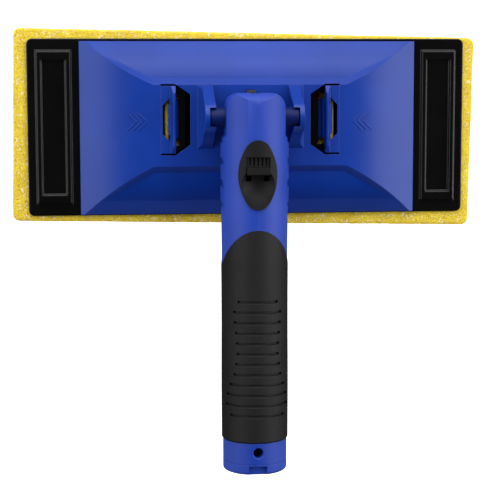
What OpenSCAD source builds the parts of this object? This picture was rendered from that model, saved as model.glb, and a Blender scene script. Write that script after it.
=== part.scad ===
// Swivel-handle pad applicator: a foam pad on a moulded carrier plate, clipped under a head that
// carries a pivoting, lockable handle with a pole socket in its end.
// Millimetres. X runs along the pad, Y from the handle towards the head's far side, Z up.
// The origin is on the pad's working face, below the centre of the carrier plate.

/* [Pad] */
// Length of the foam pad along X
pad_w = 230.5; // [224:0.5:232]
// Depth of the foam pad along Y
pad_d = 95; // [92:1:96]
// Thickness of the foam with its wiping face
pad_t = 16; // [12:1:20]
// Thickness of the short-pile wiping face
pile_t = 1.2; // [0.8:0.1:2]
// Radius of the pad's upright corners
pad_corner_r = 3.5; // [2:0.5:6]
// Turn of the bonded pad on its plate, in degrees
pad_skew = -1.2; // [-1.5:0.1:0]
// Offset of the bonded pad from the plate's centre along X
pad_dx = -1; // [-1:0.1:0]
// Offset of the bonded pad from the plate's centre along Y
pad_dy = -1; // [-1.5:0.1:0]
// Thickness of the adhesive film between foam and plate
adhesive_t = 0.3; // [0.2:0.1:0.5]

/* [Carrier plate] */
// Length of the carrier plate
plate_w = 218; // [216:1:220]
// Depth of the carrier plate
plate_d = 87; // [87:0.5:89]
// Thickness of the plate's sheet
plate_t = 1; // [0.8:0.1:1.2]
// Radius of the plate's corners
plate_corner_r = 3; // [1:0.5:5]
// Height of the stiffening bead at each end
bead_h = 2; // [1.5:0.1:2.5]
// Height of the raised land round each latch opening
land_h = 3; // [2.8:0.1:3.2]

/* [Head] */
// Length of the head
head_w = 167; // [165:1:169]
// Depth of the head
head_d = 86; // [84:1:86]
// Height of the head's flat top above the plate
top_h = 11; // [11:0.1:11.3]
// Half length of the head's flat top
flat_x = 47.5; // [47:0.5:50]
// Height of the head's rim at its ends
wing_rim_h = 2; // [1.5:0.1:2.5]
// Wall thickness of the head
head_wall = 2.2; // [2:0.1:2.4]

/* [Pivot] */
// Distance of the pivot from the plate's centre along Y
pivot_y = 5.6; // [5:0.1:6]
// Height of the pivot above the plate
pivot_h = 26; // [26:0.1:27]
// Radius of the pivot axle
axle_r = 4.7; // [4.5:0.1:4.8]
// Radial running clearance of the axle
running_gap = 0.05; // [0.03:0.01:0.08]

/* [Handle] */
// Length of the handle from the pivot to its open end
handle_len = 172.9; // [170:0.1:176]
// Radius of the handle's body
handle_r = 16.15; // [16:0.05:16.3]
// Width of the handle's neck between the ears
neck_w = 28.3; // [28:0.1:28.6]
// Distance of the neck's flat end beyond the pivot
neck_end = 11.5; // [11:0.1:12]
// Radius of the handle's core under the grip
core_r = 13.4; // [13.3:0.1:13.6]
// Radius of the pole socket's bore
socket_r = 9.8; // [9.5:0.1:10]
// Depth of the pole socket
socket_len = 60; // [50:1:60]
// Radius of the hole for the pole's spring button
button_hole_r = 2.4; // [2.2:0.1:2.6]

/* [Lock] */
// Travel of the thumb lock towards the head
lock_travel = 4; // [3.5:0.1:4]
// Radius of the toothed disc round the pivot
sector_r = 10; // [9.8:0.1:10]
// Thickness of the index sector
sector_t = 4.4; // [4:0.1:4.6]

/* [Hidden] */
$fn = 96;

// Levels
plate_z = pad_t + adhesive_t + plate_t;       // upper face of the carrier plate
pivot_z = plate_z + pivot_h;
big = 400;
skin = 0.01;

// The head's far edge stops short of the plate's
back_trim = 0.8;

// Stiffening bead at each end of the plate
bead_x = 96.1;
bead_outer = [18, 76];
bead_inner = [10.8, 65];
bead_draft = 0.8;

// Latches, measured towards the nearer end of the head (u) and along Y
latch_root_u = 44.2;
latch_tip_u = 37;
latch_y0 = -12.6;
latch_y1 = 20.4;
latch_mid_y = (latch_y0 + latch_y1) / 2;
latch_slit = 0.9;
window_u = 29.7;
window_chamfer = 4.2;
lip_h = 3.5;
root_relief = 0.4;
opening_u0 = 34.8;
opening_u1 = 42.3;
opening_y = [-8.7, 17];
hook_y = [-5.5, 13.9];
hook_u = [33.8, 36.2, 38.2];
hook_h = [0.7, 1.7];
land_u = 38;
land_size = [17, 37];
land_draft = 2;

// Side panels of the head: edge of the flat top, foot of its step and knee of the outer slope
front_panel = [19, 22, 36];
back_panel = [21, 24, 37];
panel_foot_h = 7.8;
panel_knee_h = 5.6;
panel_rim_h = 1.6;
panel_corner = [80, 42, 3];
panel_draft = 42;

// Ears
ear_outer = 24;
ear_web = 21.7;
ear_inner = 18.7;
ear_round_r = 7.5;
ear_round_h = 24;
saddle_mouth = 9.1;

// Index sector
notch_w = 3.4;
notch_depth = 3.7;
notch_angles = [0, 45, 90];
sector_gap = 0.4;
tail_y = 12.7;
nose_gap = 0.35;
foot_half_w = 6;
flange = [26, 22, 2];
flange_h = 2.8;
boss_at = [9.5, 8];
boss_r = 3.2;
screw_r = 1.5;

// Handle, along its axis (s) from the pivot
grip_start = 53.5;
grip_end = 157.2;
grip_arch = [16.3, 21.5];
groove_first = 87.9;
groove_pitch = 5.06;
groove_w = 1.1;
groove_lip = [0.7, 0.6];
groove_depth = 1.15;
groove_chords = [19.3, 23.2, 22.7, 21.7, 20.8, 20.5, 21.7, 23.2, 26.6, 29, 30, 26];
belly_flat = 14.5;
neck_corner_r = 7.8;
liner_r = 11.6;
button_s = 161.9;
shell_screw_s = [66, 98];
hollow = [46, 107];

// Thumb lock
oval_s = 27.1;
oval_half = [9.3, 16.5];
oval_end_r = 6.3;
seat_y = 9.5;
dome_r = 17.3;
slider_s = [18.2, 22.9, 27.2];
slider_half_w = 5.5;
slider_rib_y = 15.6;
slider_ledge_y = 19.5;
stem_s = [20.5, 27];
bolt_half = [4, 3];
bolt_s = [10.5, 14.6, 37];

// ---------------------------------------------------------------- helpers

module along_x(l) rotate([90, 0, 90]) linear_extrude(l, center = true) children();
module along_y(l) rotate([90, 0, 0]) linear_extrude(l, center = true) children();
module cyl_x(r, l) rotate([0, 90, 0]) cylinder(r = r, h = l, center = true);
module both_sides() {
    children();
    mirror([1, 0, 0]) children();
}
module rounded_rect(w, d, r) {
    square([w - 2 * r, d], center = true);
    square([w, d - 2 * r], center = true);
    for (sx = [-1, 1], sy = [-1, 1])
        translate([sx * (w / 2 - r), sy * (d / 2 - r)]) circle(r);
}
// A block with sloping sides: size at the bottom, inset at the top
module tapered_block(size, h, inset) {
    intersection() {
        along_y(size.y + 2) polygon([[-size.x / 2, 0], [size.x / 2, 0],
            [size.x / 2 - inset, h], [-size.x / 2 + inset, h]]);
        along_x(size.x + 2) polygon([[-size.y / 2, 0], [size.y / 2, 0],
            [size.y / 2 - inset, h], [-size.y / 2 + inset, h]]);
    }
}

// ---------------------------------------------------------------- pad and plate

module pad_outline(z, t) translate([pad_dx, pad_dy, z]) rotate([0, 0, pad_skew])
    linear_extrude(t) rounded_rect(pad_w, pad_d, pad_corner_r);

module pad_face() color("#e3cb3a") pad_outline(0, pile_t);

module foam_pad() color("#e3cb3a") pad_outline(pile_t, pad_t - pile_t);

// The film stops short of the two latch openings
module pad_adhesive() color("#d9d9cf") translate([0, 0, pad_t]) linear_extrude(adhesive_t)
    difference() {
        rounded_rect(plate_w - 4, plate_d - 4, plate_corner_r);
        both_sides() translate([land_u, latch_mid_y]) square(land_size - [4, 2], center = true);
    }

// Ring bead, shrunk by t on every face
module bead(t) {
    translate([bead_x, 0, -plate_t]) difference() {
        tapered_block(bead_outer - [2 * t, 2 * t], bead_h + plate_t - t, bead_draft);
        translate([0, 0, bead_h + 2 * plate_t]) mirror([0, 0, 1])
            tapered_block(bead_inner + [2 * (bead_draft + t), 2 * (bead_draft + t)],
                          bead_h + 3 * plate_t, bead_draft);
    }
}
module land(t) translate([land_u, latch_mid_y, -plate_t])
    tapered_block(land_size - [2 * t, 2 * t], land_h + plate_t - t, land_draft);
module carrier_plate() color("#101012") translate([0, 0, plate_z]) difference() {
    union() {
        translate([0, 0, -plate_t]) linear_extrude(plate_t)
            rounded_rect(plate_w, plate_d, plate_corner_r);
        both_sides() {
            bead(0);
            land(0);
        }
    }
    both_sides() {
        translate([0, 0, -skin]) bead(plate_t);
        translate([0, 0, -skin]) land(plate_t);
        translate([opening_u0, opening_y[0], -2])
            cube([opening_u1 - opening_u0, opening_y[1] - opening_y[0], land_h + 4]);
    }
}

// ---------------------------------------------------------------- head

// Space above one side panel, drawn for the far side; t lowers it into the wall
module panel_space(p, t) {
    phi = atan2(panel_corner.y - p[0], panel_corner.x - flat_x);
    run = norm([panel_corner.y - p[0], panel_corner.x - flat_x]);
    pitch = atan2(top_h - panel_corner.z, run);
    slope = (panel_knee_h - panel_rim_h) / (head_d / 2 - p[2]);
    intersection() {
        along_x(big) polygon([
            [p[0] - t / 2, top_h - t], [p[1] - t / 2, panel_foot_h - t],
            [p[2] - t / 3, panel_knee_h - t],
            [head_d / 2 + 3 - t / 3, panel_knee_h - t - slope * (head_d / 2 + 3 - p[2])],
            [head_d, 0], [head_d, 40], [p[0] - t / 2, 40]]);
        both_diagonals(p, t, phi, pitch);
    }
}
module both_diagonals(p, t, phi, pitch) intersection() {
    diagonal(p, t, phi, pitch);
    mirror([1, 0, 0]) diagonal(p, t, phi, pitch);
}
module diagonal(p, t, phi, pitch) translate([flat_x, p[0], top_h])
    rotate([panel_draft, pitch, phi]) translate([-big / 2, -t, -big / 2]) cube(big);

// The head's outer form, shrunk by t on every face
module head_form(t) {
    half_w = head_w / 2;
    rise = top_h - wing_rim_h;
    run = half_w - flat_x;
    wing_r = (run * run + rise * rise) / (2 * rise);
    difference() {
        union() {
            translate([-flat_x, -head_d / 2 + t, 0]) cube([2 * flat_x, head_d - 2 * t, top_h - t]);
            both_sides() intersection() {
                translate([flat_x, -head_d / 2 + t, 0]) cube([run - t, head_d - 2 * t, top_h]);
                translate([flat_x, 0, top_h - wing_r]) rotate([90, 0, 0])
                    cylinder(r = wing_r - t, h = head_d, center = true, $fn = 200);
            }
        }
        panel_space(back_panel, t);
        mirror([0, 1, 0]) panel_space(front_panel, t);
        translate([-big / 2, head_d / 2 - back_trim - t, -1]) cube(big);
    }
}

// Opening in the flat top that holds one latch, with its slits and thumb window
module latch_window() {
    linear_extrude(top_h * 2) polygon([
        [latch_root_u, latch_y0 - latch_slit], [latch_tip_u, latch_y0 - latch_slit],
        [window_u, latch_y0 + window_chamfer], [window_u, latch_y1 - window_chamfer],
        [latch_tip_u, latch_y1 + latch_slit], [latch_root_u, latch_y1 + latch_slit]]);
}

// Side view of an ear
module ear_outline() {
    polygon([[-11, top_h - 1], [21, top_h - 1], [19, 14.5], [14.8, 21.5],
             [pivot_y + ear_round_r * cos(20), ear_round_h + ear_round_r * sin(20)],
             [pivot_y - ear_round_r * cos(20), ear_round_h + ear_round_r * sin(20)],
             [-2.6, 21.5], [-7.2, 14.5]]);
    translate([pivot_y, ear_round_h]) circle(ear_round_r);
}
// Flared foot outside each ear
module ear_foot() {
    translate([0, 5, 0]) along_y(31) polygon([[ear_outer - 1, top_h - 1], [ear_outer + 2.2, top_h - 1],
        [ear_outer + 2.2, top_h], [ear_outer + 0.5, top_h + 2.2], [ear_outer, top_h + 5],
        [ear_outer - 1, top_h + 5]]);
}
module ear() {
    difference() {
        translate([(ear_outer + ear_inner) / 2, 0, 0]) along_x(ear_outer - ear_inner) ear_outline();
        translate([ear_inner - 1, pivot_y, pivot_h]) {
            saddle_l = ear_web - ear_inner + 1;
            translate([saddle_l / 2, 0, 0]) cyl_x(axle_r + running_gap, saddle_l);
            translate([0, -saddle_mouth / 2, 0]) cube([saddle_l, saddle_mouth, 20]);
        }
    }
    intersection() {
        ear_foot();
        translate([ear_outer, 0, 0]) along_x(8) ear_outline();
    }
}
// Generic arrows that point at a latch
module chevrons() {
    leg = 6.4;
    for (i = [0:2]) translate([51 + i * 2.6, latch_mid_y - 1, top_h - 2])
        for (a = [-45, 45]) rotate([0, 0, a]) translate([-0.25, -0.25, 0])
            cube([leg, 0.5, 4]);
}
module head_ribs() {
    for (x = [52, 67]) translate([x, 0, 0]) cube([1.6, head_d, big], center = true);
    for (y = [-30, 30]) translate([0, y, 0]) cube([head_w, 1.6, big], center = true);
}
module screw_bosses(r, h0, h1)
    for (sx = [-1, 1], sy = [-1, 1])
        translate([sx * boss_at.x, pivot_y + sy * boss_at.y, h0]) cylinder(r = r, h = h1 - h0);

module head_shell() color("#2e4bb0") translate([0, 0, plate_z]) difference() {
    union() {
        difference() {
            head_form(0);
            translate([0, 0, -skin]) head_form(head_wall);
        }
        intersection() {
            both_sides() head_ribs();
            translate([0, 0, skin]) head_form(head_wall / 2);
            translate([-big / 2, -big / 2, 0]) cube(big);
        }
        intersection() {
            both_sides() chevrons();
            head_form(-0.25);
        }
        both_sides() ear();
        screw_bosses(boss_r, flange_h + flange.z, top_h - head_wall / 2);
    }
    both_sides() latch_window();
    translate([-sector_t / 2, pivot_y - foot_half_w, -1]) cube([sector_t, 2 * foot_half_w, 20]);
    translate([-sector_t / 2, pivot_y, -1]) cube([sector_t, tail_y + 0.2, 20]);
    screw_bosses(screw_r, flange_h, top_h - head_wall);
}

// ---------------------------------------------------------------- latches

// One latch, drawn for the +X side, relative to the plate's upper face
module latch() {
    floor_h = top_h - head_wall;
    mid = latch_mid_y;
    span = latch_y1 - latch_y0;
    difference() {
        union() {
            translate([0, mid, 0]) along_y(span) polygon([[latch_tip_u, floor_h], [latch_tip_u, top_h],
                [latch_root_u - 0.03, top_h], [latch_root_u - root_relief, floor_h]]);
            intersection() {
                translate([0, mid, 0]) along_y(span) polygon([[latch_tip_u, floor_h + 0.5],
                    [latch_tip_u, top_h + lip_h - 0.6], [latch_tip_u + 0.5, top_h + lip_h],
                    [latch_tip_u + 1.3, top_h + lip_h], [latch_tip_u + 2.6, top_h],
                    [latch_tip_u + 2.6, floor_h + 0.5]]);
                along_x(big) polygon([[latch_y0, floor_h], [latch_y1, floor_h],
                    [latch_y1, top_h + 1], [latch_y1 - 3.5, top_h + lip_h],
                    [latch_y0 + 3.5, top_h + lip_h], [latch_y0, top_h + 1]]);
            }
            translate([0, (hook_y[0] + hook_y[1]) / 2, 0]) along_y(hook_y[1] - hook_y[0])
                polygon([[hook_u[1], hook_h[0]], [hook_u[2], hook_h[0]], [hook_u[2], floor_h + 1],
                         [latch_tip_u, floor_h + 1], [latch_tip_u, floor_h], [hook_u[1], floor_h - 1],
                         [hook_u[1], hook_h[1]], [hook_u[0], hook_h[1]], [hook_u[0] + 0.5, hook_h[0]]]);
        }
        translate([0, mid, 0]) linear_extrude(top_h * 2) polygon([[39.7, -10.7], [43.2, -7],
            [43.2, 7], [39.7, 10.7], [39.7, 7.9], [40.6, 6.6], [40.6, -6.6], [39.7, -7.9]]);
    }
}
module right_latch() color("#2e4bb0") translate([0, 0, plate_z]) latch();
module left_latch() color("#2e4bb0") translate([0, 0, plate_z]) mirror([1, 0, 0]) latch();

// ---------------------------------------------------------------- index sector

// Side view (Y, height) of the sector: disc, foot and the low tail that follows the neck's end
module sector_side() {
    difference() {
        union() {
            translate([pivot_y, pivot_h]) circle(sector_r);
            translate([pivot_y - foot_half_w, flange_h]) square([2 * foot_half_w, pivot_h - flange_h]);
            difference() {
                translate([pivot_y, flange_h]) square([tail_y, pivot_h - neck_end - 0.5 - flange_h]);
                translate([pivot_y, pivot_h]) circle(belly_flat + 0.35);
            }
        }
        translate([pivot_y, pivot_h]) circle(axle_r + running_gap);
        for (a = notch_angles) translate([pivot_y, pivot_h]) rotate(180 - a)
            translate([sector_r - notch_depth, -notch_w / 2]) square([notch_depth + 5, notch_w]);
    }
}
module index_sector() color("#55565a") translate([0, 0, plate_z]) difference() {
    union() {
        along_x(sector_t) sector_side();
        translate([-flange.x / 2, pivot_y - flange.y / 2, flange_h]) cube(flange);
    }
    screw_bosses(screw_r + 0.1, 0, flange_h + flange.z);
}
module sector_screws() color("#b8bcc0") translate([0, 0, plate_z]) {
    screw_bosses(screw_r, flange_h - 0.5, top_h - head_wall - 0.4);
    difference() {
        screw_bosses(2.8, flange_h - 1.6, flange_h);
        for (a = [0, 90]) for (sx = [-1, 1], sy = [-1, 1])
            translate([sx * boss_at.x, pivot_y + sy * boss_at.y, flange_h - 1.6]) rotate([0, 0, a])
                cube([3.2, 0.6, 1.6], center = true);
    }
}

// ---------------------------------------------------------------- handle
// The handle's pieces are drawn along its own axis: z is the distance s from the pivot towards
// the open end, y points away from the head and x is the pivot's axis.

module on_handle() translate([0, pivot_y, pivot_z]) rotate([90, 0, 0]) children();
module plan(l = 80) rotate([90, 0, 0]) linear_extrude(l, center = true) children();
module side(l = 80) rotate([0, -90, 0]) linear_extrude(l, center = true) children();

function grip_r(s) = 16.26 + 0.06 * cos(360 * (s - 58) / 72);

module handle_envelope() {
    end_r = 15.65;
    soft = 1.6;
    rotate_extrude() polygon(concat(
        [[0, -neck_end - 2], [handle_r, -neck_end - 2], [handle_r, 46], [15.95, 66], [end_r, 150]],
        [for (a = [0:15:90]) [end_r - soft + soft * cos(a), handle_len - soft + soft * sin(a)]],
        [[0, handle_len]]));
}
// Plan of the handle: parallel neck with round corners, and shoulders where the body begins
module handle_plan() {
    translate([0, 19.8 - neck_end]) rounded_rect(neck_w, 40, neck_corner_r);
    polygon([[-neck_w / 2, 8.6], [neck_w / 2, 8.6], [neck_w / 2 + 3.6, 12.2], [-neck_w / 2 - 3.6, 12.2]]);
    translate([-20, 12]) square([40, handle_len]);
}
// Side view of the handle: the belly is flattened over the head, and the neck's end is rounded
// so that it turns above the head's flat top
module handle_side() {
    polygon([[0, 0], [0, -belly_flat], [25.4, -belly_flat], [29, -18], [handle_len + 5, -18],
             [handle_len + 5, 18], [0, 18]]);
    intersection() {
        circle(belly_flat);
        translate([-neck_end, -20]) square([neck_end + 1, 20]);
    }
    translate([-neck_end, -skin]) square([neck_end + 1, 10.15 + skin]);
    translate([-neck_end + 6, 0]) square([neck_end - 5, 18]);
    translate([-neck_end + 6, 10.15]) circle(6);
}
module grip_zone() {
    arch_end = grip_start + grip_arch.y;
    polygon(concat(
        [for (a = [0:5:180]) [grip_arch.x * cos(a), arch_end - grip_arch.y * sin(a)]],
        [[-20, arch_end], [-20, grip_end], [20, grip_end], [20, arch_end]]));
}
module oval() {
    half_w = oval_half[0];
    end_at = oval_half[1] - oval_end_r;
    side_r = (end_at * end_at + half_w * half_w - oval_end_r * oval_end_r) / (2 * (half_w - oval_end_r));
    tangent = side_r * end_at / (side_r - oval_end_r);
    intersection() {
        translate([side_r - half_w, 0]) circle(side_r);
        translate([half_w - side_r, 0]) circle(side_r);
        square([30, 2 * tangent], center = true);
    }
    for (k = [-1, 1]) translate([0, k * end_at]) circle(oval_end_r);
}
// Prism above the seat of the thumb lock
module oval_prism(l) translate([0, seat_y, oval_s]) rotate([90, 0, 0]) mirror([0, 0, 1])
    linear_extrude(l) oval();

// Three gripping pads on each flank, with a notch before each
module flank_pads() for (s = [12.2, 22.7, 33.4]) translate([14.6, -4.6, s]) cube([1.5, 9.2, 7.2]);
module flank_recess() {
    translate([15.5, -7.5, 10]) cube([5, 15, 33]);
}
module flank_notches() for (s = [20.6, 31.3]) translate([14.7, -4, s]) cube([5, 8, 1.7]);

// Room for the index sector: its disc, and the foot's path over the handle's travel
module sector_room() {
    gap = sector_t / 2 + sector_gap / 2;
    cyl_x(sector_r + sector_gap, 2 * gap);
    side(2 * gap) polygon(concat([[0, 0]], [for (a = [45:15:225]) 30 * [cos(a), -sin(a)]]));
}
module shell_cuts() {
    cyl_x(axle_r, 60);
    sector_room();
    translate([-bolt_half.x - 0.15, -bolt_half.y - 0.15, bolt_s[0] - 0.6])
        cube([2 * bolt_half.x + 0.3, 2 * bolt_half.y + 0.3, bolt_s[2] + 1.6 - bolt_s[0]]);
    translate([-2.2, -bolt_half.y - 1, 14]) cube([4.4, 2, 24]);
    translate([-3.1, 2, stem_s[0] - lock_travel - 0.2])
        cube([6.2, seat_y, stem_s[1] - stem_s[0] + lock_travel + 0.4]);
    oval_prism(12);
    difference() {
        translate([0, 0, hollow[0]]) cylinder(r = 10.5, h = hollow[1] - hollow[0]);
        for (s = shell_screw_s) translate([0, 0, s]) cyl_x(4, 40);
    }
    translate([0, 0, handle_len - socket_len - 2]) cylinder(r = liner_r, h = socket_len + 3);
    difference() {
        intersection() {
            plan() grip_zone();
            translate([0, 0, grip_start - 1]) cylinder(r = 20, h = grip_end - grip_start + 1);
        }
        cylinder(r = core_r, h = handle_len);
    }
    for (s = shell_screw_s) translate([0, 0, s]) {
        cyl_x(screw_r, 19);
        translate([12, 0, 0]) cyl_x(2.9, 7);
    }
    translate([0, 0, button_s]) rotate([-90, 0, 0]) {
        cylinder(r = button_hole_r, h = 20);
        translate([0, 0, 15.15]) cylinder(r1 = button_hole_r, r2 = button_hole_r + 0.8, h = 0.8);
    }
    difference() {
        translate([0, 0, handle_len - 5.5]) cylinder(r = 20, h = 0.5);
        translate([0, 0, handle_len - 6]) cylinder(r = 15.4, h = 2);
    }
    translate([-4.6, 13.2, handle_len - 4.4]) cube([9, 5, 6]);
}
module handle_body() difference() {
    union() {
        difference() {
            intersection() {
                handle_envelope();
                plan() handle_plan();
                side() handle_side();
            }
            both_sides() flank_recess();
        }
        both_sides() flank_pads();
    }
    both_sides() flank_notches();
    shell_cuts();
}
module handle_left_shell() color("#2e4bb0") on_handle() intersection() {
    handle_body();
    translate([-40, -40, -40]) cube([40, 80, 240]);
}
module handle_right_shell() color("#2e4bb0") on_handle() intersection() {
    handle_body();
    translate([0, -40, -40]) cube([40, 80, 240]);
}
module shell_screws() color("#b8bcc0") on_handle() for (s = shell_screw_s) translate([0, 0, s]) {
    cyl_x(screw_r, 19);
    difference() {
        translate([9.5, 0, 0]) cyl_x(2.8, 2);
        for (a = [0, 90]) translate([10.5, 0, 0]) rotate([a, 0, 0]) cube([1.4, 3.4, 0.7], center = true);
    }
}
module pivot_axle() color("#2e4bb0") on_handle() {
    cyl_x(axle_r, 2 * ear_web - 1.4);
    cyl_x(axle_r - 0.5, 2 * ear_web - 0.5);
}

// One groove across the grip's front: a slot of even depth whose far lip is chamfered
module groove(chord, s) {
    floor_r = grip_r(s) - groove_depth;
    lip_r = grip_r(s) - groove_lip.y;
    far = s + groove_w / 2;
    intersection() {
        rotate_extrude() polygon([[floor_r, s - groove_w / 2], [20, s - groove_w / 2],
            [20, far + groove_lip.x], [grip_r(s) + 0.2, far + groove_lip.x], [lip_r, far], [floor_r, far]]);
        translate([-chord / 2, 0, s - 5]) cube([chord, 20, 10]);
    }
}
module grip_sleeve() color("#232225") on_handle() difference() {
    intersection() {
        rotate_extrude() polygon(concat(
            [[core_r, grip_start - 1]],
            [for (s = [grip_start - 1:4:grip_end - 4]) [grip_r(s), s]],
            [[grip_r(grip_end - 0.8), grip_end - 0.8], [grip_r(grip_end) - 0.6, grip_end],
             [core_r, grip_end]]));
        plan() grip_zone();
    }
    for (i = [0:len(groove_chords) - 1]) groove(groove_chords[i], groove_first + i * groove_pitch);
}
module pole_socket() color("#26479f") on_handle() difference() {
    translate([0, 0, handle_len - socket_len - 2]) cylinder(r = liner_r, h = socket_len + 1.4);
    translate([0, 0, handle_len - socket_len]) cylinder(r = socket_r, h = socket_len + 2);
    translate([0, 0, handle_len - 1.6]) cylinder(r1 = socket_r, r2 = socket_r + 1, h = 1.01);
    translate([0, 5, button_s]) rotate([-90, 0, 0]) cylinder(r = button_hole_r, h = 10);
}

// ---------------------------------------------------------------- thumb lock

module lock_bezel() color("#1b1b1e") on_handle() difference() {
    intersection() {
        oval_prism(12);
        cylinder(r = dome_r, h = 60);
    }
    // Way of the slider, open under the dome
    translate([-slider_half_w - 0.2, seat_y - 1, slider_s[0] - lock_travel - 0.5])
        cube([2 * slider_half_w + 0.4, slider_rib_y + 0.2 - seat_y + 1,
              slider_s[2] - slider_s[0] + lock_travel + 0.7]);
    translate([-slider_half_w - 0.2, seat_y - 1, slider_s[1] - lock_travel - 0.3])
        cube([2 * slider_half_w + 0.4, 20, slider_s[2] - slider_s[1] + lock_travel + 0.5]);
    // Thumb scoop with a pocket at each of its upper corners
    translate([0, 23.6, 33]) sphere(r = 11.6);
    both_sides() translate([2.9, seat_y + 0.8, slider_s[2]]) cube([2.8, 10, 3]);
}
module lock_slider() color("#1b1b1e") on_handle() difference() {
    union() {
        translate([-slider_half_w, seat_y + 0.1, slider_s[0]])
            cube([2 * slider_half_w, slider_rib_y - seat_y - 0.1, slider_s[2] - slider_s[0]]);
        side(2 * slider_half_w) polygon([
            [slider_s[1], slider_rib_y - 1], [slider_s[1] + 0.8, slider_ledge_y],
            [slider_s[2] - 0.6, slider_ledge_y], [slider_s[2], slider_ledge_y - 0.8],
            [slider_s[2], slider_rib_y - 1]]);
        translate([-2.9, 1, stem_s[0]]) cube([5.8, seat_y, stem_s[1] - stem_s[0]]);
    }
    for (x = [-3.9, -2, 0, 2, 3.9]) translate([x - 0.45, slider_rib_y - 1.1, slider_s[0] - 1])
        cube([0.9, 3, slider_s[1] - slider_s[0] + 1]);
}
module lock_bolt() color("#3a3b3e") on_handle() difference() {
    union() {
        translate([-bolt_half.x, -bolt_half.y, bolt_s[1]])
            cube([2 * bolt_half.x, 2 * bolt_half.y, bolt_s[2] - bolt_s[1]]);
        translate([-sector_t / 2 + 0.1, -notch_w / 2 + nose_gap, bolt_s[0] + 0.1])
            cube([sector_t - 0.2, notch_w - 2 * nose_gap, 5]);
    }
    translate([-2.9, 1, stem_s[0]]) cube([5.8, 3, stem_s[1] - stem_s[0]]);
    translate([-2.3, -4, 15]) cube([4.6, 2.2, 24]);
}
module detent_spring() color("#b8bcc0") on_handle() {
    translate([-2, -bolt_half.y - 0.9, 15]) cube([4, 0.4, 22]);
    intersection() {
        translate([0, -bolt_half.y - 1.4, 26]) cyl_x(1.6, 4);
        translate([-2, -bolt_half.y - 0.6, 20]) cube([4, 4, 12]);
    }
}

pad_face();
foam_pad();
pad_adhesive();
carrier_plate();
head_shell();
index_sector();
sector_screws();
left_latch();
right_latch();
pivot_axle();
handle_left_shell();
handle_right_shell();
shell_screws();
grip_sleeve();
pole_socket();
lock_bezel();
lock_slider();
lock_bolt();
detent_spring();
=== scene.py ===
"""Looks of the swivel-handle pad cleaner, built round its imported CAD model. Metres."""
import math

import bmesh
import bpy
from mathutils import Matrix, Vector, noise


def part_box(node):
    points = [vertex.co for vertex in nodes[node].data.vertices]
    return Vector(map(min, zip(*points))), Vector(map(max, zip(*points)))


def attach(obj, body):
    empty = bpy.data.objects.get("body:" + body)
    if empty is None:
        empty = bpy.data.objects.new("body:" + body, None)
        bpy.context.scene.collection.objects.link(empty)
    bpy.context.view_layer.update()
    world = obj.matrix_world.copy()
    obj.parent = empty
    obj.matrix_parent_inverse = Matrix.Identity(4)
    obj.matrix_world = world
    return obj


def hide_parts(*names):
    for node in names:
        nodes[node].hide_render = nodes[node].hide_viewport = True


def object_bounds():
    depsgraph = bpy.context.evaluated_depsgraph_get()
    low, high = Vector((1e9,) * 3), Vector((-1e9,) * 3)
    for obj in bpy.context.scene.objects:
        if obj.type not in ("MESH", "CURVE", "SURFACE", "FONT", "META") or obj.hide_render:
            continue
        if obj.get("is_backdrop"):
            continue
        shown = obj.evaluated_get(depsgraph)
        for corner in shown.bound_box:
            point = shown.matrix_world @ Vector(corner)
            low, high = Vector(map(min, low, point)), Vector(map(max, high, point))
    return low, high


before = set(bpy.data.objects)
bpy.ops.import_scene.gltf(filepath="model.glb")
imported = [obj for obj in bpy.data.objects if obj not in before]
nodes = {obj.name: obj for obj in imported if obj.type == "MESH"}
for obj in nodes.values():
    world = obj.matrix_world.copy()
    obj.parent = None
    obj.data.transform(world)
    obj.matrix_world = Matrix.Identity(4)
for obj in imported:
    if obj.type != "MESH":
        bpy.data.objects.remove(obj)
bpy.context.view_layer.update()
scene = bpy.context.scene
MM = 0.001
EDGE_STOPS = [(0.02, 0.0), (0.35, 1.0)]     # how far a bevelled normal has turned on a rounded edge, where edge wear and, on moulded plastic, a painted highlight go


def linear(r, g, b):
    """Linear colour of an sRGB colour from 0 to 255."""
    def channel(c):
        c /= 255
        return c / 12.92 if c <= 0.04045 else ((c + 0.055) / 1.055) ** 2.4
    return (channel(r), channel(g), channel(b), 1.0)


# ---------------------------------------------------------------- node helpers

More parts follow.
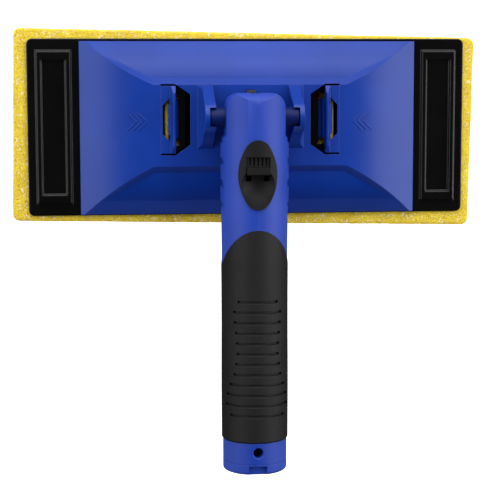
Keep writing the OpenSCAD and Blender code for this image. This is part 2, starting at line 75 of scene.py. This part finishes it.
class Shade:
    """A material and short calls that add nodes to it. Object coordinates are scaled to millimetres."""

    def __init__(self, name, roughness=0.4, specular=0.5):
        self.mat = bpy.data.materials.new(name)
        self.mat.use_nodes = True
        self.tree = self.mat.node_tree
        self.bsdf = self.tree.nodes["Principled BSDF"]
        self.bsdf.inputs["Roughness"].default_value = roughness
        self.bsdf.inputs["Specular IOR Level"].default_value = specular
        texco = self.add("ShaderNodeTexCoord")
        scale = self.add("ShaderNodeVectorMath", operation="SCALE")
        scale.inputs["Scale"].default_value = 1 / MM
        self.link(texco.outputs["Object"], scale.inputs[0])
        self.mm = scale.outputs[0]

    def add(self, kind, **settings):
        node = self.tree.nodes.new(kind)
        for key, value in settings.items():
            setattr(node, key, value)
        return node

    def link(self, a, b):
        self.tree.links.new(a, b)

    def noise(self, scale, detail=3.0, roughness=0.55, stretch=None):
        """Noise with scale cycles per millimetre."""
        tex = self.add("ShaderNodeTexNoise")
        tex.inputs["Scale"].default_value = scale
        tex.inputs["Detail"].default_value = detail
        tex.inputs["Roughness"].default_value = roughness
        self.link(self.stretched(stretch), tex.inputs["Vector"])
        return tex.outputs["Fac"]

    def cells(self, scale, feature="F1", stretch=None):
        """Distance to the cells' centres, or to their edges."""
        tex = self.add("ShaderNodeTexVoronoi", feature=feature)
        tex.inputs["Scale"].default_value = scale
        self.link(self.stretched(stretch), tex.inputs["Vector"])
        return tex.outputs["Distance"]

    def stretched(self, stretch):
        if stretch is None:
            return self.mm
        product = self.add("ShaderNodeVectorMath", operation="MULTIPLY")
        product.inputs[1].default_value = stretch
        self.link(self.mm, product.inputs[0])
        return product.outputs[0]

    def ramp(self, source, stops):
        """A ramp from source; stops are (place, colour) or (place, grey)."""
        node = self.add("ShaderNodeValToRGB")
        elements = node.color_ramp.elements
        while len(elements) < len(stops):
            elements.new(0.5)
        for element, (place, colour) in zip(elements, stops):
            element.position = place
            element.color = colour if hasattr(colour, "__len__") else (colour,) * 3 + (1.0,)
        self.link(source, node.inputs["Fac"])
        return node.outputs["Color"]

    def mix(self, factor, a, b):
        node = self.add("ShaderNodeMix", data_type="RGBA")
        for socket, value in ((node.inputs[0], factor), (node.inputs[6], a), (node.inputs[7], b)):
            if isinstance(value, bpy.types.NodeSocket):
                self.link(value, socket)
            else:
                socket.default_value = value
        return node.outputs[2]

    def spread(self, source, low, high):
        """Maps 0..1 to low..high."""
        node = self.add("ShaderNodeMapRange")
        node.inputs["To Min"].default_value = low
        node.inputs["To Max"].default_value = high
        self.link(source, node.inputs["Value"])
        return node.outputs["Result"]

    def maths(self, operation, a, b):
        node = self.add("ShaderNodeMath", operation=operation)
        for socket, value in zip(node.inputs, (a, b)):
            if isinstance(value, bpy.types.NodeSocket):
                self.link(value, socket)
            else:
                socket.default_value = value
        return node.outputs[0]

    def edges(self, radius_mm):
        """Near 1 on rounded edges, where the bevelled normal leaves the true one."""
        bevel = self.add("ShaderNodeBevel", samples=4)
        bevel.inputs["Radius"].default_value = radius_mm * MM
        geometry = self.add("ShaderNodeNewGeometry")
        dot = self.add("ShaderNodeVectorMath", operation="DOT_PRODUCT")
        self.link(bevel.outputs["Normal"], dot.inputs[0])
        self.link(geometry.outputs["Normal"], dot.inputs[1])
        away = self.maths("SUBTRACT", 1.0, dot.outputs["Value"])
        return self.ramp(away, EDGE_STOPS)

    def relief(self, layers, round_mm=0.0):
        """Bump layers of (height, strength, distance in mm), over softly rounded edges."""
        normal = None
        if round_mm:
            bevel = self.add("ShaderNodeBevel", samples=6)
            bevel.inputs["Radius"].default_value = round_mm * MM
            normal = bevel.outputs["Normal"]
        for height, strength, distance in layers:
            bump = self.add("ShaderNodeBump")
            bump.inputs["Strength"].default_value = strength
            bump.inputs["Distance"].default_value = distance * MM
            self.link(height, bump.inputs["Height"])
            if normal is not None:
                self.link(normal, bump.inputs["Normal"])
            normal = bump.outputs["Normal"]
        self.link(normal, self.bsdf.inputs["Normal"])

    def colour(self, socket):
        self.link(socket, self.bsdf.inputs["Base Color"])

    def roughness(self, socket):
        self.link(socket, self.bsdf.inputs["Roughness"])


# ---------------------------------------------------------------- materials

def moulded(name, dark, light, worn_and_lit, rough, round_mm=0.35, specular=0.5, grain=0.05, wear_and_highlight=0.25):
    """Moulded plastic: faint colour drift, spark-eroded grain, and rub marks and slightly paler edges
    that are partly edge wear and partly a painted highlight.
    """
    s = Shade(name, specular=specular)
    drift = s.ramp(s.noise(0.035, 2.0), [(0.35, dark), (0.7, light)])
    speck = s.ramp(s.noise(2.4, 2.0), [(0.44, 0.0), (0.62, 1.0)])
    flecked = s.mix(s.maths("MULTIPLY", speck, 0.10), drift, light)
    patches = s.ramp(s.noise(0.35, 4.0), [(0.42, 0.15), (0.6, 0.9)])
    # The pale rounded edges are partly edge wear and partly a painted highlight along them.
    rub = s.maths("MULTIPLY", s.edges(round_mm * 1.4), patches)
    s.colour(s.mix(s.maths("MULTIPLY", rub, wear_and_highlight), flecked, worn_and_lit))
    patch = s.noise(0.09, 4.0, 0.6)
    scuff = s.ramp(s.noise(0.5, 5.0, 0.7, (1.0, 0.12, 1.0)), [(0.52, 0.0), (0.72, 1.0)])
    s.roughness(s.maths("ADD", s.spread(patch, rough[0], rough[1]), s.maths("MULTIPLY", scuff, 0.02)))
    s.relief([(s.noise(1.6, 3.0, 0.6), grain, 0.10), (s.noise(0.05, 1.0), 0.10, 0.8)], round_mm)
    return s.mat


BLUE_WORN_AND_LIT = linear(88, 118, 200)
blue = moulded("blue_plastic", linear(3, 49, 144), linear(5, 54, 154), BLUE_WORN_AND_LIT, (0.33, 0.39),
               specular=0.38)
# The handle shells' larger share of pale edge paints the highlight along their seam.
blue_grained = moulded("blue_plastic_grained", linear(4, 51, 158), linear(6, 57, 170), BLUE_WORN_AND_LIT,
                       (0.50, 0.58), round_mm=0.14, specular=0.5, grain=0.12, wear_and_highlight=0.6)
# A darker copy of the blue plastic: painted shade on the pivot axle between the ears and on the pole
# socket at the handle's end.
blue_painted_shade = moulded("blue_plastic_painted_shade", linear(3, 22, 80), linear(5, 28, 92), BLUE_WORN_AND_LIT,
                     (0.42, 0.5), round_mm=0.25, specular=0.18)
black_gloss = moulded("black_sheet_plastic", linear(4, 4, 4), linear(8, 8, 8), linear(44, 44, 47),
                      (0.10, 0.15), round_mm=0.8, grain=0.02)
black_lock = moulded("black_plastic", linear(12, 12, 14), linear(19, 19, 21), linear(66, 66, 70),
                     (0.52, 0.6), round_mm=0.3, specular=0.22)
grey = moulded("grey_plastic", linear(48, 49, 52), linear(60, 61, 64), linear(110, 112, 116), (0.4, 0.5))


def rubber():
    """Soft-touch grip rubber: matt, with a fine pebbled grain and faint dusty patches."""
    s = Shade("grip_rubber", specular=0.35)
    dust = s.ramp(s.noise(0.08, 5.0, 0.65), [(0.4, 0.0), (0.72, 1.0)])
    base = s.mix(s.maths("MULTIPLY", dust, 0.35), linear(13, 12, 14), linear(24, 23, 25))
    lint = s.ramp(s.noise(1.1, 2.0, 0.5), [(0.70, 0.0), (0.78, 1.0)])
    rub = s.edges(0.5)
    base = s.mix(s.maths("MULTIPLY", lint, 0.16), base, linear(84, 80, 82))
    s.colour(s.mix(s.maths("MULTIPLY", rub, 0.18), base, linear(60, 56, 60)))
    s.roughness(s.spread(s.noise(0.3, 4.0), 0.56, 0.68))
    s.relief([(s.cells(1.5), 0.22, 0.10), (s.noise(3.0, 2.0), 0.18, 0.05)], 0.15)
    return s.mat


def steel():
    """Zinc-plated screws: turned marks and slightly dull patches."""
    s = Shade("steel", roughness=0.3)
    s.bsdf.inputs["Metallic"].default_value = 1.0
    s.colour(s.ramp(s.noise(0.8, 4.0), [(0.3, linear(150, 152, 154)), (0.7, linear(198, 199, 200))]))
    s.roughness(s.spread(s.noise(1.6, 4.0), 0.22, 0.42))
    s.relief([(s.noise(2.0, 3.0, 0.5, (6.0, 1.0, 1.0)), 0.12, 0.05)], 0.2)
    return s.mat


def foam():
    """Cut polyurethane foam: painted highlights on the cell walls and in white glints, painted shade in
    the small open pores and in pits.
    """
    s = Shade("yellow_foam", specular=0.2)
    pore = s.ramp(s.cells(1.15), [(0.08, 0.0), (0.42, 1.0)])
    strand = s.ramp(s.cells(1.9, "DISTANCE_TO_EDGE"), [(0.02, 1.0), (0.16, 0.0)])
    drift = s.ramp(s.noise(0.12, 4.0, 0.6), [(0.36, linear(228, 192, 24)), (0.64, linear(244, 214, 46))])
    # Painted shade: darker orange at the centres of the pores.
    pore_painted_shade = s.mix(pore, linear(196, 152, 18), drift)
    # Painted highlight: pale cell walls round the pores.
    painted_highlights = s.mix(s.maths("MULTIPLY", strand, 0.35), pore_painted_shade, linear(252, 236, 130))
    # Painted highlight: small near-white glints.
    glint_spots = s.ramp(s.noise(0.8, 3.0, 0.6), [(0.58, 0.0), (0.66, 1.0)])
    painted_highlights = s.mix(s.maths("MULTIPLY", glint_spots, 0.8), painted_highlights, linear(252, 243, 220))
    # Painted shade in scattered pits.
    pit_painted_shade = s.ramp(s.noise(0.62, 4.0, 0.65), [(0.28, 1.0), (0.34, 0.0)])
    s.colour(s.mix(s.maths("MULTIPLY", pit_painted_shade, 0.6), painted_highlights, linear(130, 98, 20)))
    s.roughness(s.spread(s.noise(0.8, 3.0), 0.8, 0.98))
    s.bsdf.inputs["Subsurface Weight"].default_value = 0.15
    s.bsdf.inputs["Subsurface Radius"].default_value = (1.0, 0.7, 0.2)
    s.bsdf.inputs["Subsurface Scale"].default_value = 1.2 * MM
    s.relief([(pore, 0.75, 0.5), (s.noise(1.6, 4.0, 0.6), 0.5, 0.4), (strand, 0.35, 0.3)])
    return s.mat


def pile():
    """Short woven pile on the working face: rows of upright loops with a soft sheen and painted shade in
    the gaps between them.
    """
    s = Shade("pile_fabric", specular=0.15)
    loops = s.cells(0.8, stretch=(1.0, 1.35, 0.4))
    tuft = s.ramp(loops, [(0.15, 1.0), (0.6, 0.0)])
    tone = s.ramp(s.noise(0.06, 4.0, 0.6), [(0.35, linear(214, 178, 42)), (0.66, linear(236, 208, 78))])
    fibre = s.noise(2.2, 4.0, 0.7, (0.5, 0.5, 0.12))
    # Painted shade: the gaps between the tufts take a darker yellow.
    s.colour(s.mix(s.maths("MULTIPLY", fibre, 0.4), s.mix(tuft, linear(150, 114, 24), tone),
                   linear(248, 236, 176)))
    s.roughness(s.spread(fibre, 0.75, 0.98))
    s.bsdf.inputs["Sheen Weight"].default_value = 0.35
    s.bsdf.inputs["Sheen Roughness"].default_value = 0.4
    s.relief([(tuft, 0.7, 0.5), (fibre, 0.45, 0.25)])
    return s.mat


def adhesive():
    s = Shade("adhesive_film", specular=0.4)
    s.colour(s.ramp(s.noise(0.3, 4.0), [(0.3, linear(196, 190, 150)), (0.7, linear(226, 221, 190))]))
    s.roughness(s.spread(s.noise(0.7, 3.0), 0.3, 0.55))
    s.relief([(s.noise(0.5, 4.0, 0.6, (1.0, 0.15, 1.0)), 0.3, 0.1)])
    return s.mat


FINISH = {
    "pad_adhesive": adhesive(),
    "carrier_plate": black_gloss,
    "head_shell": blue,
    "index_sector": grey,
    "sector_screws": steel(),
    "left_latch": blue,
    "right_latch": blue,
    "pivot_axle": blue_painted_shade,
    "handle_left_shell": blue_grained,
    "handle_right_shell": blue_grained,
    "grip_sleeve": rubber(),
    "pole_socket": blue_painted_shade,
    "lock_bezel": black_lock,
    "lock_slider": black_lock,
    "lock_bolt": grey,
}
FINISH["shell_screws"] = FINISH["detent_spring"] = FINISH["sector_screws"]


SHARP_ANGLE = math.radians(28)
WELD_DISTANCE = 0.002 * MM


def smooth_by_angle(obj):
    """Shades smooth, sharp where faces meet at more than SHARP_ANGLE."""
    weld = obj.modifiers.new("weld", "WELD")
    weld.merge_threshold = WELD_DISTANCE
    with bpy.context.temp_override(object=obj, active_object=obj, selected_objects=[obj],
                                   selected_editable_objects=[obj]):
        obj.data.shade_smooth()
    sharp = obj.modifiers.new("edges", "EDGE_SPLIT")
    sharp.split_angle = SHARP_ANGLE


for name, material in FINISH.items():
    obj = nodes[name]
    obj.data.materials.clear()
    obj.data.materials.append(material)
    for face in obj.data.polygons:
        face.material_index = 0
    smooth_by_angle(obj)


# ---------------------------------------------------------------- pad

SKEW = math.radians(-1.2)


def pad_block(node):
    """Centre and half sizes of one of the pad's skewed CAD solids."""
    lo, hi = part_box(node)
    c, s = math.cos(SKEW), abs(math.sin(SKEW))
    span = hi - lo
    turned = c * c - s * s
    half_w = (span.x * c - span.y * s) / turned / 2
    half_d = (span.y * c - span.x * s) / turned / 2
    return (lo + hi) / 2, (half_w, half_d, span.z / 2)


EDGE_PULL = 0.75        # how round the edges between a block's sides and its lids are


def slab(bm, centre, half, skew, step, soft, corner, shape):
    """Adds to bm a closed block of small quads with soft edges and round corners, moved by shape."""
    counts = [max(2, round(2 * h / step)) for h in half]
    made = {}

    def vert(*at):
        if at not in made:
            made[at] = bm.verts.new(((2 * i / n - 1) * h for i, n, h in zip(at, counts, half)))
        return made[at]

    def side(a, b, fixed, value):
        for p in range(counts[a]):
            for q in range(counts[b]):
                corners = []
                for dp, dq in ((0, 0), (1, 0), (1, 1), (0, 1)):
                    at = [0, 0, 0]
                    at[a], at[b], at[fixed] = p + dp, q + dq, value
                    corners.append(vert(*at))
                faces.append(bm.faces.new(corners if value else corners[::-1]))

    faces = []
    for a, b, fixed in ((0, 1, 2), (1, 2, 0), (2, 0, 1)):
        side(a, b, fixed, 0)
        side(a, b, fixed, counts[fixed])
    for v in made.values():
        p = v.co.copy()
        flat = Vector([max(corner - h, min(h - corner, c)) for c, h in zip(p.xy, half)] + [0])
        out = Vector((p.x, p.y, 0)) - flat
        if out.length > 1e-9:
            out = out.normalized() * max(abs(out.x), abs(out.y))
        p.x, p.y = flat.x + out.x, flat.y + out.y
        rim = max(0.0, 1 - (corner - out.length) / soft)
        lid = max(0.0, 1 - (half[2] - abs(p.z)) / soft)
        if rim > 0 and lid > 0:
            pull = soft * (math.hypot(rim, lid) - max(rim, lid)) * EDGE_PULL
            p.z -= math.copysign(pull * lid, p.z)
            p -= out.normalized() * pull * rim
        v.co = p
    bm.normal_update()
    moves = [(v, shape(v.co.copy(), v.normal.copy())) for v in made.values()]
    turn = Matrix.Rotation(skew, 3, "Z")
    for v, move in moves:
        v.co = turn @ (v.co + move) + centre


def soft_piece(name, bm, material):
    mesh = bpy.data.meshes.new(name)
    bm.to_mesh(mesh)
    bm.free()
    mesh.shade_smooth()
    mesh.materials.append(material)
    obj = bpy.data.objects.new(name, mesh)
    scene.collection.objects.link(obj)
    return obj


def foam_surface(p, n):
    """Open pores, torn cells and the slight waviness of a cut block; depths in millimetres."""
    pore_depth, grain_depth, wave_depth, lid_inset = 0.32, 0.16, 0.18, 0.16
    pore_scale, pore_radius, grain_scale = 0.75, 0.45, 1.3
    wave_scale = Vector((0.05, 0.05, 0.12))
    q = p / MM
    distance = noise.voronoi(q * pore_scale)[0][0]
    pore = -pore_depth * max(0.0, 1 - distance / pore_radius)
    grain = grain_depth * noise.noise(q * grain_scale)
    wave = wave_depth * noise.noise(q * wave_scale)
    lid = abs(n.z)
    rough = (pore + grain * (1 - 0.5 * lid) + wave * (1 - lid)) * (1.0 - 0.35 * lid)
    return n * (rough - lid_inset * lid) * MM


def pile_surface(p, n):
    """Low rows of tufts on the lower face only; the upper face meets the foam. Depths in millimetres."""
    tuft_depth, side_inset = 0.30, 0.06
    tuft_scale = Vector((0.55, 0.7, 0.0))
    q = p / MM
    down = max(0.0, -n.z)
    tuft = noise.voronoi(q * tuft_scale)[0][0]
    return n * (-tuft_depth * min(1.0, tuft) * down - side_inset * (1 - down)) * MM


PAD_CORNER = 3.5 * MM
FOAM_STEP, FOAM_SOFT = 1.0 * MM, 1.1 * MM       # grid of the foam block, radius of its edges
PILE_STEP, PILE_SOFT = 1.2 * MM, 0.4 * MM
SWELL = Vector((0.95, 12.3, 4.9)) * MM          # half sizes of the ridge under a latch's slot
SWELL_INSET = Vector((3.2, 0.25)) * MM          # its place: in from the latch's tip, along its middle
SWELL_RISE = 0.8                                # share of its half height above the foam's top
SWELL_STEP, SWELL_SOFT, SWELL_CORNER = 0.45 * MM, 0.6 * MM, 0.8 * MM

centre, half = pad_block("foam_pad")
bm = bmesh.new()
slab(bm, centre, half, SKEW, FOAM_STEP, FOAM_SOFT, PAD_CORNER, foam_surface)
# The foam swells up through the carrier plate under the slot of each latch
for latch, sign in (("left_latch", -1), ("right_latch", 1)):
    lo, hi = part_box(latch)
    outer = max(abs(lo.x), abs(hi.x)) - SWELL_INSET.x
    middle = (lo.y + hi.y) / 2 + SWELL_INSET.y
    place = Vector((sign * outer, middle, centre.z + half[2] + SWELL_RISE * SWELL.z))
    slab(bm, place, SWELL, 0.0, SWELL_STEP, SWELL_SOFT, SWELL_CORNER, foam_surface)
foam_piece = soft_piece("foam_block", bm, foam())
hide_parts("foam_pad")
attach(foam_piece, "head")

centre, half = pad_block("pad_face")
bm = bmesh.new()
slab(bm, centre, half, SKEW, PILE_STEP, PILE_SOFT, PAD_CORNER, pile_surface)
pile_piece = soft_piece("pile_sheet", bm, pile())
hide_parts("pad_face")
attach(pile_piece, "head")


# ---------------------------------------------------------------- stage, lights and camera

FLOOR_HALF, FLOOR_Z = 12.0, -0.2 * MM
FLOOR_GLOW = 1.15
WORLD_STRENGTH = 0.05


def stage_floor():
    """White floor that the lens sees but glossy faces don't."""
    s = Shade("white_floor", roughness=0.85, specular=0.1)
    s.colour(s.ramp(s.noise(0.002, 2.0), [(0.3, linear(196, 196, 196)), (0.7, linear(204, 204, 204))]))
    s.bsdf.inputs["Emission Color"].default_value = (1, 1, 1, 1)
    s.bsdf.inputs["Emission Strength"].default_value = FLOOR_GLOW
    mesh = bpy.data.meshes.new("floor")
    corners = [(x * FLOOR_HALF, y * FLOOR_HALF, FLOOR_Z) for x, y in ((-1, -1), (1, -1), (1, 1), (-1, 1))]
    mesh.from_pydata(corners, [], [(0, 1, 2, 3)])
    mesh.materials.append(s.mat)
    floor = bpy.data.objects.new("floor", mesh)
    floor.visible_glossy = False
    scene.collection.objects.link(floor)
    floor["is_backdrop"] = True


AIM = Vector((0.0, 0.0, 0.02))
LAMP_DISTANCE = 1.1


def softbox(name, compass, lean, size, radiance):
    """Area light that faces AIM from a compass direction, leaning away from overhead."""
    compass, lean = math.radians(compass), math.radians(lean)
    way = Vector((math.cos(compass) * math.sin(lean), math.sin(compass) * math.sin(lean), math.cos(lean)))
    light = bpy.data.lights.new(name, "AREA")
    light.shape = "RECTANGLE"
    light.size, light.size_y = size
    light.energy = radiance * math.pi * size[0] * size[1]
    obj = bpy.data.objects.new(name, light)
    obj.location = AIM + LAMP_DISTANCE * way
    obj.rotation_mode = "QUATERNION"
    obj.rotation_quaternion = (-way).to_track_quat("-Z", "Y")
    scene.collection.objects.link(obj)


stage_floor()
world = bpy.data.worlds.new("studio")
world.use_nodes = True
sky = world.node_tree.nodes["Background"]
sky.inputs["Color"].default_value = (1, 1, 1, 1)
sky.inputs["Strength"].default_value = WORLD_STRENGTH
scene.world = world
scene.view_settings.view_transform = "Standard"
# Each softbox: name, compass angle from +X, angle from overhead, size, brightness of its face
for name, compass, lean, size, radiance in (
        ("key", 90, 38, (1.5, 0.7), 2.3),
        ("rear", 90, 70, (1.5, 0.8), 2.4),
        ("left", 180, 57, (0.85, 0.95), 2.4),
        ("right", 0, 58, (0.85, 0.95), 3.4)):
    softbox(name, compass, lean, size, radiance)

YAW, PITCH, ROLL = (math.radians(a) for a in (6.575, 6.682, -0.09))
DISTANCE, FOCAL_PX, FRAME_PX, SENSOR_MM = 0.768, 1525, 500, 36
TARGET = Vector((0.00081, -0.06198, 0.0173))
back = Vector((-math.sin(YAW) * math.cos(PITCH), math.sin(PITCH), math.cos(YAW) * math.cos(PITCH)))
right = Vector((0, 1, 0)).cross(back).normalized()
up = back.cross(right)
right, up = (math.cos(ROLL) * right + math.sin(ROLL) * up, math.cos(ROLL) * up - math.sin(ROLL) * right)
camera = bpy.data.objects.new("camera", bpy.data.cameras.new("camera"))
camera.data.sensor_width = SENSOR_MM
camera.data.lens = FOCAL_PX / FRAME_PX * SENSOR_MM
camera.data.clip_start, camera.data.clip_end = 0.01, 20
turn = Matrix((right, up, back)).transposed().to_4x4()
camera.matrix_world = Matrix.Translation(TARGET + DISTANCE * back) @ turn
scene.collection.objects.link(camera)
scene.camera = camera

# ---------------------------------------------------------------- size and end

lo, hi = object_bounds()
